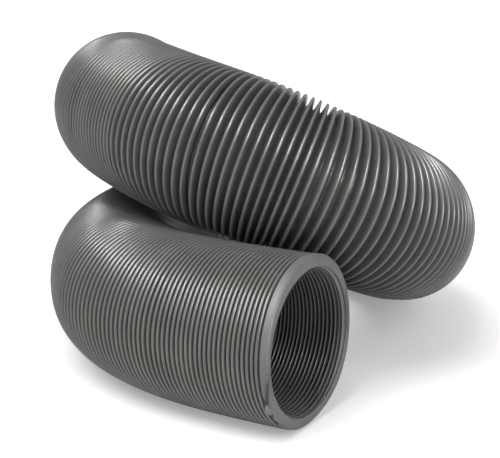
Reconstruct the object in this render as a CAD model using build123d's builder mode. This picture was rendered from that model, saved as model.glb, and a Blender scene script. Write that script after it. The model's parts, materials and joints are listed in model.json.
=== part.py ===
"""Flexible air duct: a plastic film sleeve over a sprung steel wire helix, lying in a loose coil.

Millimetres. The origin is the centre of the near mouth, +X points out of that mouth and +Z up.
The duct lies on the plane z = -OUTER_R. Its second turn lies on top of the first.
"""

from build123d import *
import os
from math import pi, radians, tan

# Driving dimensions of the hose
BORE_R = 46.0  # inside the folds of the closed-up film; pulled open, it passes a 100 mm spigot
FOLD_DEPTH = 8.0  # from the crest of a wire bead to the inner edge of a fold or a cuff
OUTER_R = BORE_R + FOLD_DEPTH
FILM = 1.0  # the film's outer skin, with its beads
CUFF_LENGTH = 10.0  # the smooth flattened turn at each mouth
CUFF_EDGE = 0.9  # rounding of the cuff's rim
WIRE_R = 0.6
WIRE_GAP = 0.1  # wire to film
TURN_SPACING = 10.0  # one closed ring stands for two or three turns of the helix
TURN_RING_R = OUTER_R - FILM - WIRE_GAP - WIRE_R

# The hose's centreline, mouth first: along the front, round the left, behind, and up over the right
REST = 0.0  # height of the centreline where the hose lies on the floor
TAIL = 106.0  # height of the centreline where the far end lies on the first turn
ROUTE = [
    (0, 0, REST),
    (-54, 0, REST),
    (-109, 10, REST),
    (-156, 34, REST),
    (-187, 69, REST),
    (-213, 106, REST),
    (-229, 151, REST),
    (-239, 205, REST),
    (-227, 258, REST),
    (-189, 301, REST),
    (-134, 317, REST),
    (-80, 295, 3),
    (-46, 244, 16),
    (-26, 190, 34),
    (-8, 135, 48),
    (-23, 82, 72),
    (-68, 60, 94),
    (-115, 54, 107),
    (-159, 73, 113),
    (-200, 96, 118),
    (-227, 131, 117),
    (-247, 168, TAIL + 3),
    (-266, 202, TAIL),
]
ARC_SHARE = 0.45  # share of the shorter run that an arc takes up at a corner

# Film sections, each from the middle of one run of the route to the middle of another
SECTIONS = {
    "mouth_stretch": (0, 1),
    "front": (1, 2),
    "front_bend": (2, 4),
    "left": (4, 6),
    "back_bend": (6, 8),
    "back": (8, 10),
    "right_low": (10, 12),
    "right_high": (12, 14),
    "lift_bend": (14, 16),
    "upper": (16, 17),
    "tail_bend": (17, 19),
    "tail": (19, 20),
    "tail_stretch": (20, 21),
}

os.makedirs("parts", exist_ok=True)


def save(part, name):
    """Label a finished piece and write it as its own STEP file."""
    part.label = name
    export_step(part, f"parts/{name}.step")


def point(index):
    return Vector(*ROUTE[index])


def run(index):
    """The straight run from one point of the route to the next."""
    return point(index + 1) - point(index)


def middle(index):
    return point(index) + run(index) * 0.5


def corner_radius(index):
    """The largest arc that the two runs at a corner allow."""
    before, after = run(index - 1), run(index)
    half_turn = radians(before.get_angle(after)) / 2
    return ARC_SHARE * min(before.length, after.length) / tan(half_turn)


def centreline(first_run, last_run):
    """Straight runs joined by tangent arcs, between the middles of two runs."""
    corners = range(first_run + 1, last_run + 1)
    points = [middle(first_run), *(point(i) for i in corners), middle(last_run)]
    with BuildLine() as path:
        FilletPolyline(*points, radius=[corner_radius(i) for i in corners])
    return path.wire()


def film_section(path):
    """The film sleeve along a stretch of the centreline, open at both ends."""
    with BuildPart() as film:
        with BuildLine():
            add(path)
        with BuildSketch(Plane(path @ 0, z_dir=path % 0)):
            Circle(OUTER_R)
            Circle(OUTER_R - FILM, mode=Mode.SUBTRACT)
        sweep(path=path)
    return film.part


def wire_section(path):
    """Turns of the steel wire inside a stretch of the film."""
    turns = max(1, round(path.length / TURN_SPACING))
    places = [(i + 0.5) / turns for i in range(turns)]
    planes = [Plane(path @ place, z_dir=path % place) for place in places]
    with BuildPart() as wire:
        with Locations(*planes):
            Torus(TURN_RING_R, WIRE_R)
    return wire.part


def cuff(rim, inward):
    """The smooth last turn at a mouth: a plain ring, rounded outside its rim, reaching inward."""
    with BuildPart() as ring:
        with BuildSketch(Plane(rim, z_dir=inward)):
            Circle(OUTER_R)
            Circle(BORE_R, mode=Mode.SUBTRACT)
        extrude(amount=CUFF_LENGTH)
        rim_circles = ring.edges().filter_by(GeomType.CIRCLE).sort_by_distance(rim)[:2]
        fillet(rim_circles.sort_by(SortBy.RADIUS)[-1], CUFF_EDGE)
    return ring.part


def end_pieces(rim, inward, stop, cuff_name, section):
    """A mouth: its cuff, then plain film and wire up to where the hose starts to stretch."""
    save(cuff(rim, inward), cuff_name)
    path = Wire(Edge.make_line(rim + inward * CUFF_LENGTH, stop))
    save(film_section(path), f"film_{section}")
    save(wire_section(path), f"wire_{section}")


for corner in range(1, len(ROUTE) - 1):
    print("corner", corner, "radius", round(corner_radius(corner), 1))

end_pieces(point(0), run(0).normalized(), middle(0), "mouth_cuff", "mouth")
LAST = len(ROUTE) - 1
end_pieces(point(LAST), -run(LAST - 1).normalized(), middle(LAST - 1), "far_cuff", "far")

FILM_AREA = pi * (OUTER_R**2 - (OUTER_R - FILM) ** 2)
for section, (first_run, last_run) in SECTIONS.items():
    path = centreline(first_run, last_run)
    film = film_section(path)
    volume_share = film.volume / (FILM_AREA * path.length)
    print(section, "length", round(path.length, 1), "volume share", round(volume_share, 4))
    save(film, f"film_{section}")
    save(wire_section(path), f"wire_{section}")
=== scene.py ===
"""Looks of the flexible air duct: a vinyl film sleeve over a wire helix, lying in a loose coil.

Metres, in the frame of the CAD model: the origin is the centre of the near mouth, +X points out of
that mouth and +Z up. The whole sleeve is one helical strip of film, cut into a piece per CAD node.
"""

import json
from math import cos, pi, radians, sin

import bpy
import numpy as np
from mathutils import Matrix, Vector


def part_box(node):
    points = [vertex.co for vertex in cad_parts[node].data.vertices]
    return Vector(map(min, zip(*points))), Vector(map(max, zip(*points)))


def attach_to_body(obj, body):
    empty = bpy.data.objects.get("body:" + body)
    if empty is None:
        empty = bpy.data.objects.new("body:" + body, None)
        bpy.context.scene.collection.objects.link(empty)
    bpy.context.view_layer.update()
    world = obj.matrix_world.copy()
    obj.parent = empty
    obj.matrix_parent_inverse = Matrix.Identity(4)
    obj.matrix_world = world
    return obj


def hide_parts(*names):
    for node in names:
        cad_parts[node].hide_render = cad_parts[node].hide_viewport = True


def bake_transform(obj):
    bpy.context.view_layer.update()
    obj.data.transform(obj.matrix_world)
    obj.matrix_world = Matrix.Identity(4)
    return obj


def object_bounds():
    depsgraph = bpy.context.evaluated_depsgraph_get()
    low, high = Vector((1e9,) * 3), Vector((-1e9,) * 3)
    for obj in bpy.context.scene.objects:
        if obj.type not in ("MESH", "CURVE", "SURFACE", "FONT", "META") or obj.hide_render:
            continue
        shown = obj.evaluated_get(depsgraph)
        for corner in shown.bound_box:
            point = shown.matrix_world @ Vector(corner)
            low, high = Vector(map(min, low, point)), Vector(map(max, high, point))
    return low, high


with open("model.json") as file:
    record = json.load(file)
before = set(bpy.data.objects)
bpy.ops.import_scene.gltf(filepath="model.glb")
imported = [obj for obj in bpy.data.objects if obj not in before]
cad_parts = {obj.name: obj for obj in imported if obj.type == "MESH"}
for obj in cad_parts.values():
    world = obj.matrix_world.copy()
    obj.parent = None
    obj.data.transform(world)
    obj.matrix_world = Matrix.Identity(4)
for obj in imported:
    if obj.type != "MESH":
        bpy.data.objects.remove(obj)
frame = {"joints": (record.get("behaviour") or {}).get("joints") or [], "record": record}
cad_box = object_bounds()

MM = 0.001

# ---------------------------------------------------------------- sizes of the hose

CUFF_LOW, CUFF_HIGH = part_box("mouth_cuff")
OUTER_R = (CUFF_HIGH.y - CUFF_LOW.y) / 2
FLOOR_Z = cad_box[0].z
BORE_R = 46.0 * MM  # inside the folds of the film
BEAD_R = 1.0 * MM  # wire and the film over it
FILM = 0.3 * MM
FOLD_DEPTH = OUTER_R - BORE_R
WIRE_R = 0.6 * MM
LIP = 4.5 * MM  # smooth last turn at the near mouth, where the strip starts

# The hose's route, mouth first: the points of the CAD model's centreline
REST = 0.0
TAIL = 0.106
ROUTE = [
    (0.000, 0.000, REST),
    (-0.054, 0.000, REST),
    (-0.109, 0.010, REST),
    (-0.156, 0.034, REST),
    (-0.187, 0.069, REST),
    (-0.213, 0.106, REST),
    (-0.229, 0.151, REST),
    (-0.239, 0.205, REST),
    (-0.227, 0.258, REST),
    (-0.189, 0.301, REST),
    (-0.134, 0.317, REST),
    (-0.080, 0.295, 0.003),
    (-0.046, 0.244, 0.016),
    (-0.026, 0.190, 0.034),
    (-0.008, 0.135, 0.048),
    (-0.023, 0.082, 0.072),
    (-0.068, 0.060, 0.094),
    (-0.115, 0.054, 0.107),
    (-0.159, 0.073, 0.113),
    (-0.200, 0.096, 0.118),
    (-0.227, 0.131, 0.117),
    (-0.247, 0.168, TAIL + 0.003),
    (-0.266, 0.202, TAIL),
]

# Sections of the sleeve, named as the CAD nodes, each from the middle of one run of the route
# to the middle of another; None is the hose's own end
SECTIONS = {
    "mouth": (None, 0),
    "mouth_stretch": (0, 1),
    "front": (1, 2),
    "front_bend": (2, 4),
    "left": (4, 6),
    "back_bend": (6, 8),
    "back": (8, 10),
    "right_low": (10, 12),
    "right_high": (12, 14),
    "lift_bend": (14, 16),
    "upper": (16, 17),
    "tail_bend": (17, 19),
    "tail": (19, 20),
    "tail_stretch": (20, 21),
    "far": (21, None),
}

# Distance between turns along the hose: place on the hose, spacing
SPACING = [
    (0.00, 3.00 * MM),
    (0.06, 3.10 * MM),
    (0.09, 3.25 * MM),
    (0.11, 3.60 * MM),
    (0.13, 4.20 * MM),
    (0.16, 4.40 * MM),
    (0.22, 4.20 * MM),
    (0.32, 3.80 * MM),
    (0.65, 3.80 * MM),
    (0.74, 5.40 * MM),
    (0.78, 5.40 * MM),
    (0.80, 4.90 * MM),
    (0.82, 4.40 * MM),
    (0.84, 4.60 * MM),
    (0.87, 5.10 * MM),
    (0.89, 4.70 * MM),
    (0.91, 4.10 * MM),
    (0.96, 3.80 * MM),
    (1.14, 3.70 * MM),
]
FAR_LIP = LIP + SPACING[-1][1]
UNEVEN = 0.05  # of the spacing, how much neighbouring turns differ
UNEVEN_WAVES = [(900, 0), (1530, 2), (410, 4)]  # radians per metre of hose, and phase
SHADE_ATTRIBUTE = "painted_shade"  # mesh attribute for painted shade: 0 on a bead to 1 deep in a fold, where the film's colour is darkened to stand in for shade

STEP = 0.5 * MM  # between the samples of the centreline
AROUND = 96  # columns of the mesh round the hose
SEAM_ANGLE = radians(150)  # where the strip starts and its sections meet: low on the right


# ---------------------------------------------------------------- centreline


def route_line():
    """Points along the route's NURBS spline."""
    curve = bpy.data.curves.new("route", "CURVE")
    curve.dimensions = "3D"
    curve.resolution_u = 64
    spline = curve.splines.new("NURBS")
    spline.points.add(len(ROUTE) - 1)
    for control, place in zip(spline.points, ROUTE):
        control.co = (*place, 1.0)
    spline.order_u = 3
    spline.use_endpoint_u = True
    mesh = bpy.data.meshes.new_from_object(bpy.data.objects.new("route", curve))
    return np.array([v.co for v in mesh.vertices], float)


def unit(v):
    """Vectors of length one, in the same directions."""
    return v / np.linalg.norm(v, axis=-1, keepdims=True)


def lengths_along(points):
    """The way covered along a line at each of its points."""
    steps = np.linalg.norm(np.diff(points, axis=0), axis=1)
    return np.concatenate([[0.0], np.cumsum(steps)])


class Centreline:
    """The hose's axis with a frame that doesn't twist: along, up (at the mouth) and side."""

    def __init__(self, points):
        along = lengths_along(points)
        self.length = along[-1]
        self.s = np.linspace(0, self.length, int(self.length / STEP) + 1)
        self.at = np.stack([np.interp(self.s, along, points[:, k]) for k in range(3)], axis=1)
        self.tangent = unit(np.gradient(self.at, self.s, axis=0))
        self.curvature = np.gradient(self.tangent, self.s, axis=0)
        up = np.empty_like(self.at)
        up[0] = (0, 0, 1)
        for i in range(1, len(up)):
            up[i] = up[i - 1] - self.tangent[i] * (up[i - 1] @ self.tangent[i])
            up[i] /= np.linalg.norm(up[i])
        self.up = up
        self.side = np.cross(self.tangent, up)

    def read(self, values, s):
        """The values, given as one row per sample, at places s."""
        return np.stack([np.interp(s, self.s, values[:, k]) for k in range(3)], axis=-1)

    def out(self, s, angle):
        """The direction from the axis to the hose's surface."""
        up, side = self.read(self.up, s), self.read(self.side, s)
        return up * np.cos(angle)[..., None] + side * np.sin(angle)[..., None]

    def place(self, s, angle, radius):
        """Points at a radius from the axis."""
        return self.read(self.at, s) + self.out(s, angle) * radius[..., None]

    def stretch(self, s, angle):
        """How far apart the outside spreads what is one apart on the axis: under 1 inside a bend."""
        bend = self.read(self.curvature, s)
        return 1 - OUTER_R * np.sum(bend * self.out(s, angle), axis=-1)

    def nearest(self, point):
        """The place on the hose that is closest to a point."""
        return self.s[np.linalg.norm(self.at - np.array(point), axis=1).argmin()]


line = Centreline(route_line())


# ---------------------------------------------------------------- turns of the helix


def turn_places():
    """Place on the hose for each fine step of the count of turns, and how many turns there are."""
    s = line.s
    spacing = np.interp(s, *zip(*SPACING))
    wobble = sum(np.sin(s * rate + phase) for rate, phase in UNEVEN_WAVES)
    density = (1 + UNEVEN * wobble / len(UNEVEN_WAVES)) / spacing
    inside = (s >= LIP) & (s <= line.length - FAR_LIP)
    s, density = s[inside], density[inside]
    count = np.concatenate([[0.0], np.cumsum((density[1:] + density[:-1]) / 2 * np.diff(s))])
    turns = round(count[-1])
    return s, count * turns / count[-1], turns


TURN_S, TURN_COUNT, TURNS = turn_places()


def place_of(turn):
    """Place on the hose of a count of turns, carried on past both ends."""
    first = TURN_S[0] + turn * (TURN_S[1] - TURN_S[0]) / (TURN_COUNT[1] - TURN_COUNT[0])
    over = turn - TURNS
    last = TURN_S[-1] + over * (TURN_S[-1] - TURN_S[-2]) / (TURN_COUNT[-1] - TURN_COUNT[-2])
    middle = np.interp(turn, TURN_COUNT, TURN_S)
    return np.where(turn < 0, first, np.where(turn > TURNS, last, middle))


def turn_angle(turn):
    """Angle round the hose of a bead, whose turns are counted from a half."""
    return SEAM_ANGLE + 2 * pi * (turn - 0.5)


LEAST_HALF = 0.05 * MM  # half a turn's spacing at the inside of a bend
MOST_BEAD = 0.86  # of half a turn's spacing, where a bend presses the turns together


def bead_at(turn, side):
    """A bead's place on the hose, the distance to the fold on one side of it, as measured on the
    axis and on the surface, and the bead's share of that."""
    bead = place_of(turn)
    half = np.abs(place_of(turn + side / 2) - bead)
    local_half = np.maximum(half * line.stretch(bead, turn_angle(turn)), LEAST_HALF)
    return bead, half, local_half, np.minimum(BEAD_R / local_half, MOST_BEAD)


# One turn of the film's section, from the wall of one fold to the same wall of the next. Each row
# is a kind, a side (-1 before the bead, 1 after it) and a place. Bead rows give the angle round
# the bead. Wall rows, and the row next to the following bead, give the share of the way from the
# bead to the fold's tip, across and down.
WALL = [(0.14, 0.30), (0.45, 0.66)]
SHOULDER = (0.86, 0.96)
TIP = (1.0, 1.0)
BEAD_ANGLES = [radians(a) for a in (-90, -60, -30, 0, 30, 60, 90)]
PROFILE = (
    [("wall", -1, WALL[1]), ("wall", -1, WALL[0])]
    + [("bead", 1 if a >= 0 else -1, a) for a in BEAD_ANGLES]
    + [("wall", 1, WALL[0]), ("wall", 1, WALL[1]), ("wall", 1, SHOULDER), ("wall", 1, TIP)]
    + [("next", -1, SHOULDER)]
)
ROWS = len(PROFILE)
INNER_BEAD = 0.7  # width of the bead's inner skin, as a share of the outer
MOST_FILM = 0.3  # of the way from the bead to the fold's tip, where the turns are packed
PACKED = 0.7  # a stretch under this packs the turns tightly enough that the film gets painted shade
PACKED_SHADE = 0.8  # painted shade where turns are packed: how deep in a fold the film's colour then counts as lying


def bead_row(angle, bead_share):
    """A row on the bead: its share of the way to the fold's tip and its depth, for the outer skin
    and then the inner."""
    across = bead_share * abs(sin(angle))
    down = np.full_like(bead_share, BEAD_R * (1 - cos(angle)))
    return across, down, INNER_BEAD * across, np.full_like(bead_share, 2 * BEAD_R)


def wall_row(place, bead_share, film_share):
    """A row on the fold's wall or tip, in the same terms."""
    across = bead_share + (1 - bead_share) * place[0]
    down = np.full_like(bead_share, BEAD_R + (FOLD_DEPTH - BEAD_R) * place[1])
    down_in = np.maximum(down, 2 * BEAD_R)
    if place == TIP:
        return across, down, across, down_in + FILM
    return across, down, across - film_share, down_in


def strip_points(first_turn, last_turn):
    """Outer and inner skin of the film, rows along the hose and columns round it, and the painted
    shade of each point of either skin: how deep in a fold it lies."""
    rows = (last_turn - first_turn) * ROWS + 1
    share = np.arange(AROUND + 1) / AROUND
    outer, inner = np.empty((rows, AROUND + 1, 3)), np.empty((rows, AROUND + 1, 3))
    painted_shade_out, painted_shade_in = np.empty((rows, AROUND + 1)), np.empty((rows, AROUND + 1))
    for k, (kind, side, values) in enumerate(PROFILE):
        index = np.arange(k, rows, ROWS)
        turn = first_turn + 0.5 + index // ROWS + (1 if kind == "next" else 0)
        turn = turn[:, None] + share
        bead, half, local_half, bead_share = bead_at(turn, side)
        if kind == "bead":
            across, down, across_in, down_in = bead_row(values, bead_share)
        else:
            film_share = np.minimum(FILM / local_half, MOST_FILM * (1 - bead_share))
            across, down, across_in, down_in = wall_row(values, bead_share, film_share)
        angle = turn_angle(turn)
        outer[index] = line.place(bead + side * half * across, angle, OUTER_R - down)
        inner[index] = line.place(bead + side * half * across_in, angle, OUTER_R - down_in)
        # painted shade: the outer skin is darkened deeper in each fold and where a bend packs the
        # turns; the inner skin is darkened away from the fold tips, in the hollows behind them
        packed = PACKED_SHADE * np.clip(1 - line.stretch(bead, angle) / PACKED, 0, 1)
        painted_shade_out[index] = down / FOLD_DEPTH + packed
        painted_shade_in[index] = 1 - down_in / FOLD_DEPTH
    return outer, inner, painted_shade_out, painted_shade_in


def strip_mesh(name, first_turn, last_turn):
    """A closed shell of film that follows the helix, with a step of one turn at each end."""
    grids = strip_points(first_turn, last_turn)
    rows = grids[0].shape[0]
    index = np.arange(rows * AROUND).reshape(rows, AROUND)
    # the last column of a turn joins the first column of the next; only the last turn has its own
    wrap = np.empty(rows, int)
    wrap[: rows - ROWS] = index[ROWS:, 0]
    wrap[rows - ROWS :] = rows * AROUND + np.arange(ROWS)
    index = np.hstack([index, wrap[:, None]])
    flat = [np.concatenate([g[:, :-1].reshape(-1, *g.shape[2:]), g[rows - ROWS :, -1]]) for g in grids]
    points, painted_shade = np.concatenate(flat[:2]), np.concatenate(flat[2:])
    inward = len(flat[0])
    outside = grid_quads(index)
    inside = outside[:, ::-1] + inward

    def edge(path, flip):
        """The film's cut edge, from the outer skin to the inner, along a row or a column."""
        wall = np.stack([path[:-1], path[1:], path[1:] + inward, path[:-1] + inward], axis=-1)
        return wall[:, ::-1] if flip else wall

    walls = [
        edge(index[0], True),
        edge(index[-1], False),
        edge(index[: ROWS + 1, 0], False),
        edge(index[-ROWS - 1 :, -1], True),
    ]
    faces = np.vstack([outside, inside, *walls])
    return new_mesh(name, points, [faces], painted_shade, smooth=2 * len(outside))


def grid_quads(index):
    """Four-sided faces between the points of a grid, given by their numbers."""
    a, b, c, d = index[:-1, :-1], index[:-1, 1:], index[1:, 1:], index[1:, :-1]
    return np.stack([a, b, c, d], axis=-1).reshape(-1, 4)


def new_mesh(name, points, faces, painted_shade, smooth):
    """A mesh object from arrays of points and faces, one array for each count of corners, and each
    point's painted shade value."""
    corners = np.concatenate([f.ravel() for f in faces])
    sizes = np.concatenate([np.full(len(f), f.shape[1]) for f in faces])
    mesh = bpy.data.meshes.new(name)
    mesh.vertices.add(len(points))
    mesh.vertices.foreach_set("co", points.astype(np.float32).ravel())
    mesh.loops.add(len(corners))
    mesh.loops.foreach_set("vertex_index", corners.astype(np.int32))
    mesh.polygons.add(len(sizes))
    mesh.polygons.foreach_set("loop_start", (np.cumsum(sizes) - sizes).astype(np.int32))
    mesh.polygons.foreach_set("use_smooth", np.arange(len(sizes)) < smooth)
    mesh.update(calc_edges=True)
    values = mesh.attributes.new(SHADE_ATTRIBUTE, "FLOAT", "POINT").data
    values.foreach_set("value", painted_shade.astype(np.float32).ravel())
    mesh.validate()
    obj = bpy.data.objects.new(name, mesh)
    bpy.context.scene.collection.objects.link(obj)
    return obj


WIRE_STEPS = 48  # columns of the wire's mesh in one turn
WIRE_SIDES = 6


def wire_mesh(name, first_turn, last_turn):
    """The steel wire in the beads of a section, with a flat end at each end."""
    steps = (last_turn - first_turn) * WIRE_STEPS
    turn = first_turn + 0.5 + np.arange(steps + 1)[:, None] / WIRE_STEPS
    bead, half, _, bead_share = bead_at(turn, 1)
    round_wire = 2 * pi * np.arange(WIRE_SIDES) / WIRE_SIDES
    across = half * bead_share * np.cos(round_wire) * WIRE_R / BEAD_R
    radius = OUTER_R - BEAD_R + WIRE_R * np.sin(round_wire)
    s, angle, radius = np.broadcast_arrays(bead + across, turn_angle(turn), radius)
    points = line.place(s, angle, radius).reshape(-1, 3)
    index = np.arange(len(points)).reshape(-1, WIRE_SIDES)
    around = grid_quads(np.hstack([index, index[:, :1]]))
    faces = [around, index[:1], index[-1:, ::-1]]
    return new_mesh(name, points, faces, np.zeros(len(points)), smooth=len(around))


# ---------------------------------------------------------------- mouths, sizes in millimetres

RIM = OUTER_R / MM
BORE = BORE_R / MM
LIP_COLUMNS = 360
BAND_ROWS = 18
BAND_START = 4  # the back edge's own points stand for the rows before this one
BAND_FRONT = 1.6  # depth where the band starts to round into the rim
FIRST_FOLD = 1.9  # least depth of the first fold inside the lip
FIN = 0.35  # half the thickness of a fold inside the lip
FIN_ROUND = 0.5  # how far a fold's edge is rounded
FIN_ROOT = RIM - 3.4

# Where the strip's end is folded in, on the near mouth's band. Each stroke goes from one point to
# another, given as degrees round the mouth and depth from the rim, with its width and height.
PLEAT = [
    ((264, 0.4), (240, 3.9), 0.9, -2.7),
    ((240, 4.6), (226, 0.2), 1.2, 2.4),
    ((233, 2.4), (219, 4.6), 0.9, -2.7),
]


def bump(x, middle, width):
    """A smooth hump of height one."""
    return np.exp(-(((x - middle) / width) ** 2))


# The soft near mouth is out of round: angles in degrees round the mouth, from the top
RIM_BULGE = 1.6
RIM_BULGE_AT = 90
RIM_DENT = 2.8
RIM_DENT_AT = 165
RIM_DENT_WIDTH = 28
HOLE = 47.6  # mean radius of the lip's inner edge
HOLE_OVAL = 1.7
HOLE_SHIFT = 0.7
HOLE_AXIS = 85  # the long way of the oval


def rim_wave(degree):
    """How far the soft rim stands out from a true circle."""
    bulge = RIM_BULGE * np.cos(np.radians(degree - RIM_BULGE_AT))
    return bulge - RIM_DENT * bump(degree, RIM_DENT_AT, RIM_DENT_WIDTH)


def hole_radius(degree):
    """Radius of the near lip's inner edge."""
    turned = np.radians(degree - HOLE_AXIS)
    return HOLE + HOLE_OVAL * np.cos(2 * turned) + HOLE_SHIFT * np.cos(turned)


def pleat_height(degree, depth):
    """Height of the pleat's strokes above the band."""
    round_rim = RIM * np.radians(degree)
    height = np.zeros_like(depth)
    for (start, start_depth), (end, end_depth), width, rise in PLEAT:
        x, y = round_rim - RIM * radians(start), depth - start_depth
        dx, dy = RIM * radians(end - start), end_depth - start_depth
        along = np.clip((x * dx + y * dy) / (dx * dx + dy * dy), 0, 1)
        height += rise * bump(np.hypot(x - along * dx, y - along * dy), 0, width)
    return height


def lip_section(back, pitch, hole):
    """Depth and radius of the points round the lip's section: the band from its back edge to the
    rim and the face, then inside, along the folds. back and hole hold a value for each column."""
    back_edge = [(back + 0.4, RIM - 5.6), (back - 0.25, RIM - 1.8), (back - 0.4, RIM - 0.7)]
    back_edge += [(back - 1.1, RIM)]
    band_rows = range(BAND_START, BAND_ROWS + 1)
    band = [(back + (BAND_FRONT - back) * k / BAND_ROWS, RIM) for k in band_rows]
    rim = [(0.8, RIM - 0.4), (0.25, RIM - 1.1), (0, RIM - 2.2), (0.1, RIM - 3.6)]
    inner_edge = [(0, hole + 1), (0.15, hole + 0.3), (0.6, hole), (1.1, hole + 0.3)]
    inside = [(1.1, RIM - 4.4), (1.4, FIN_ROOT)]
    for tip in (np.maximum(back - 2 * pitch, FIRST_FOLD), back - pitch, back):
        inside += [(tip - FIN, FIN_ROOT), (tip - FIN, BORE + FIN_ROUND), (tip, BORE)]
        inside += [(tip + FIN, BORE + FIN_ROUND), (tip + FIN, FIN_ROOT)]
    return back_edge + band + rim + inner_edge, inside[:-1]


def lip_mesh(name, back, pitch, place, near):
    """The smooth last turn at a mouth. back is the depth of its back edge in each column, and
    place turns depths, angles and radii into points."""
    angle = SEAM_ANGLE + 2 * pi * np.arange(LIP_COLUMNS + 1) / LIP_COLUMNS
    degree = np.degrees(angle) % 360
    hole = hole_radius(degree) if near else np.full_like(degree, BORE)
    outside, inside = lip_section(back, pitch, hole)
    rows = [np.broadcast_arrays(depth, radius, degree)[:2] for depth, radius in outside + inside]
    depth, radius = (np.array([row[k] for row in rows]) for k in (0, 1))
    is_outside = np.arange(len(rows))[:, None] < len(outside)
    # painted shade: the lip's film is darkened down its back edge into the first fold and towards the
    # roots of the folds inside it
    painted_shade = np.where(is_outside, (RIM - radius) * (depth > 2), radius - BORE) / (RIM - BORE)
    if near:
        soft = np.clip(1 - depth / back, 0, 1) * np.clip((radius - hole) / (RIM - hole), 0, 1)
        radius = radius + rim_wave(degree) * soft
        radius = radius + pleat_height(degree, depth) * (is_outside & (radius > RIM - 4))
    points = place(depth * MM, np.broadcast_to(angle, depth.shape), radius * MM)
    index = np.arange(depth.size).reshape(depth.shape)
    round_section = grid_quads(np.vstack([index, index[:1]]))
    faces = [round_section, index[None, :, 0], index[None, ::-1, -1]]
    if near:
        faces = [f[:, ::-1] for f in faces]
    return new_mesh(name, points.reshape(-1, 3), faces, painted_shade, smooth=len(round_section))


def far_place(depth, angle, radius):
    """A point near the far mouth, whose depth is counted back from the hose's end."""
    return line.place(line.length - depth, angle, radius)


# ---------------------------------------------------------------- materials

SKIN_DARK = (0.122, 0.119, 0.114)
SKIN_LIGHT = (0.155, 0.152, 0.145)
FOLD_SHADE = (0.75, 0.75, 0.75)  # painted shade: share of the skin's colour left deep in a fold
STEEL_DARK = (0.48, 0.48, 0.49)
STEEL_LIGHT = (0.60, 0.60, 0.61)
GLOSS_VARIES = 0.05  # up and down, in roughness
PEBBLE_DEPTH = 0.12 * MM


def principled(name):
    """A new material with its node tree and shader."""
    material = bpy.data.materials.new(name)
    material.use_nodes = True
    return material, material.node_tree, material.node_tree.nodes["Principled BSDF"]


def noise(tree, scale, detail, stretch=(1, 1, 1)):
    """A noise texture in the object's own coordinates."""
    where = tree.nodes.new("ShaderNodeTexCoord")
    mapping = tree.nodes.new("ShaderNodeMapping")
    mapping.inputs["Scale"].default_value = stretch
    texture = tree.nodes.new("ShaderNodeTexNoise")
    texture.inputs["Scale"].default_value = scale
    texture.inputs["Detail"].default_value = detail
    tree.links.new(where.outputs["Object"], mapping.inputs["Vector"])
    tree.links.new(mapping.outputs["Vector"], texture.inputs["Vector"])
    return texture.outputs["Fac"]


def ramp(tree, value, stops):
    """Colours at places between 0 and 1."""
    node = tree.nodes.new("ShaderNodeValToRGB")
    for element, (place, colour) in zip(node.color_ramp.elements, stops):
        element.position = place
        element.color = (*colour, 1)
    tree.links.new(value, node.inputs["Fac"])
    return node.outputs["Color"]


def uneven_gloss(tree, shader, value, low, high):
    """Roughness from low to high, as value goes from 0 to 1."""
    node = tree.nodes.new("ShaderNodeMapRange")
    node.inputs["To Min"].default_value = low
    node.inputs["To Max"].default_value = high
    tree.links.new(value, node.inputs["Value"])
    tree.links.new(node.outputs["Result"], shader.inputs["Roughness"])


def film_material(name, roughness):
    """Satin vinyl film: cloudy grey, with painted shade deep in the folds, uneven gloss and a pebbled
    skin.
    """
    material, tree, shader = principled(name)
    nodes, links = tree.nodes, tree.links
    clouds = noise(tree, scale=45, detail=5)
    skin = ramp(tree, clouds, [(0.3, SKIN_DARK), (0.7, SKIN_LIGHT)])
    # painted shade: the shade attribute multiplies the film's colour down towards FOLD_SHADE in the
    # folds and where turns are packed
    painted_shade = nodes.new("ShaderNodeAttribute")
    painted_shade.attribute_name = SHADE_ATTRIBUTE
    shade = ramp(tree, painted_shade.outputs["Fac"], [(0.10, (1, 1, 1)), (0.45, FOLD_SHADE)])
    mix = nodes.new("ShaderNodeMix")
    mix.data_type = "RGBA"
    mix.blend_type = "MULTIPLY"
    mix.inputs["Factor"].default_value = 1.0
    links.new(skin, mix.inputs["A"])
    links.new(shade, mix.inputs["B"])
    links.new(mix.outputs["Result"], shader.inputs["Base Color"])
    uneven_gloss(tree, shader, clouds, roughness - GLOSS_VARIES, roughness + GLOSS_VARIES)
    bump_node = nodes.new("ShaderNodeBump")
    bump_node.inputs["Strength"].default_value = 0.2
    bump_node.inputs["Distance"].default_value = PEBBLE_DEPTH
    links.new(noise(tree, scale=900, detail=3), bump_node.inputs["Height"])
    links.new(bump_node.outputs["Normal"], shader.inputs["Normal"])
    shader.inputs["Specular IOR Level"].default_value = 0.5
    return material


def steel_material():
    """Drawn spring steel."""
    material, tree, shader = principled("spring_steel")
    streaks = noise(tree, scale=300, detail=4, stretch=(1, 1, 8))
    colour = ramp(tree, streaks, [(0.3, STEEL_DARK), (0.7, STEEL_LIGHT)])
    tree.links.new(colour, shader.inputs["Base Color"])
    uneven_gloss(tree, shader, streaks, low=0.25, high=0.40)
    shader.inputs["Metallic"].default_value = 1.0
    return material


FILM_LOOK = film_material("vinyl_film", 0.31)
LIP_LOOK = film_material("vinyl_lip", 0.55)
STEEL_LOOK = steel_material()


# ---------------------------------------------------------------- the sleeve

BODY_OF = {n: body for body, nodes in frame["record"]["behaviour"]["bodies"].items() for n in nodes}
DEFORMING = {d["node"] for joint in frame["joints"] for d in joint["deforming_nodes"]}


def run_middle(run):
    """The point half way along a run of the route."""
    return (np.array(ROUTE[run]) + np.array(ROUTE[run + 1])) / 2


def section_end(run, end_turn):
    """The turn where a section starts or stops."""
    if run is None:
        return end_turn
    s = line.nearest(run_middle(run))
    return round(float(np.interp(s, TURN_S, TURN_COUNT)))


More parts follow.
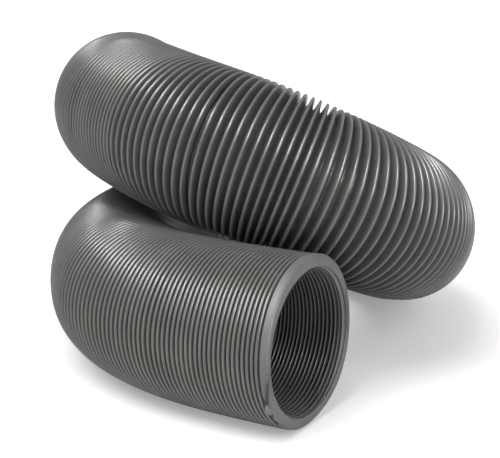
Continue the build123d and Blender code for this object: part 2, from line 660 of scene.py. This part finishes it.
def attach(piece, section):
    """Ride on the section's body, or, for a section that deforms, keep it in place with its transform
    baked into the mesh.
    """
    if f"film_{section}" not in DEFORMING:
        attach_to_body(piece, BODY_OF[f"film_{section}"])
        return
    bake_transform(piece)


def dress(piece, node, look):
    """Let a piece stand for a CAD node."""
    piece.data.materials.append(look)
    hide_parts(node)


for section, (first_run, last_run) in SECTIONS.items():
    turns = section_end(first_run, 0), section_end(last_run, TURNS)
    sleeve = strip_mesh(f"sleeve_{section}", *turns)
    helix = wire_mesh(f"helix_{section}", *turns)
    attach(sleeve, section)
    attach(helix, section)
    dress(sleeve, f"film_{section}", FILM_LOOK)
    dress(helix, f"wire_{section}", STEEL_LOOK)

SHARE = np.arange(LIP_COLUMNS + 1) / LIP_COLUMNS
near_lip = lip_mesh("near_lip", place_of(SHARE) / MM, SPACING[0][1] / MM, line.place, near=True)
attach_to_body(near_lip, BODY_OF["mouth_cuff"])
dress(near_lip, "mouth_cuff", LIP_LOOK)

FAR_BACK = (line.length - place_of(TURNS + SHARE)) / MM
far_lip = lip_mesh("far_lip", FAR_BACK, SPACING[-1][1] / MM, far_place, near=False)
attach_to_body(far_lip, BODY_OF["far_cuff"])
dress(far_lip, "far_cuff", LIP_LOOK)


# ---------------------------------------------------------------- floor, light and camera


FLOOR_SIZE = 60.0
FLOOR_LIFT = 0.30  # glow that only the camera sees, so that the floor fades to white
WORLD_LIGHT = 0.45
OVERHEAD = (-0.10, -0.48, 0.87)  # from the object to a lamp above and in front of it


def floor():
    """A pale floor with soft shadows."""
    bpy.ops.mesh.primitive_plane_add(size=FLOOR_SIZE, location=(0, 0, FLOOR_Z))
    ground = bpy.context.object
    ground.name = "floor"
    material, tree, shader = principled("pale_floor")
    ray = tree.nodes.new("ShaderNodeLightPath")
    lift = tree.nodes.new("ShaderNodeMath")
    lift.operation = "MULTIPLY"
    lift.inputs[1].default_value = FLOOR_LIFT
    tree.links.new(ray.outputs["Is Camera Ray"], lift.inputs[0])
    tree.links.new(lift.outputs["Value"], shader.inputs["Emission Strength"])
    shader.inputs["Emission Color"].default_value = (1, 1, 1, 1)
    shader.inputs["Base Color"].default_value = (0.95, 0.95, 0.95, 1)
    shader.inputs["Roughness"].default_value = 0.9
    shader.inputs["Specular IOR Level"].default_value = 0.1
    ground.data.materials.append(material)


def sun(name, direction, spread, power, diffuse=True):
    """A far softbox: a sun lamp, softer with a wider spread, in degrees. direction points from the
    object to it. One that isn't diffuse adds only its own reflections."""
    lamp = bpy.data.lights.new(name, "SUN")
    lamp.angle = radians(spread)
    lamp.energy = power
    obj = bpy.data.objects.new(name, lamp)
    obj.rotation_euler = Vector(direction).to_track_quat("Z", "Y").to_euler()
    obj.visible_diffuse = diffuse
    bpy.context.scene.collection.objects.link(obj)


def studio():
    """Even light from all round, two softboxes and two narrow lamps for the gleams on the beads."""
    world = bpy.data.worlds.new("studio")
    bpy.context.scene.world = world
    world.use_nodes = True
    world.node_tree.nodes["Background"].inputs["Color"].default_value = (1, 1, 1, 1)
    world.node_tree.nodes["Background"].inputs["Strength"].default_value = WORLD_LIGHT
    sun("key", OVERHEAD, spread=40, power=1.9)
    sun("side", (0.80, -0.30, 0.50), spread=40, power=0.8)
    sun("gleam", OVERHEAD, spread=9, power=5.0, diffuse=False)
    sun("side_gleam", (0.85, -0.30, 0.42), spread=9, power=4.0, diffuse=False)


CAMERA_AT = (0.3447, -0.6610, 0.2378)
CAMERA_LOOK = (-0.4931, 0.8419, -0.2193)
LENS = 92.8  # millimetres
SENSOR = 36.0


def camera():
    """The photograph's viewing angle."""
    data = bpy.data.cameras.new("camera")
    data.lens = LENS
    data.sensor_width = SENSOR
    obj = bpy.data.objects.new("camera", data)
    obj.location = CAMERA_AT
    obj.rotation_euler = Vector(CAMERA_LOOK).to_track_quat("-Z", "Y").to_euler()
    bpy.context.scene.collection.objects.link(obj)
    bpy.context.scene.camera = obj


floor()
studio()
camera()
bpy.context.scene.view_settings.view_transform = "Standard"
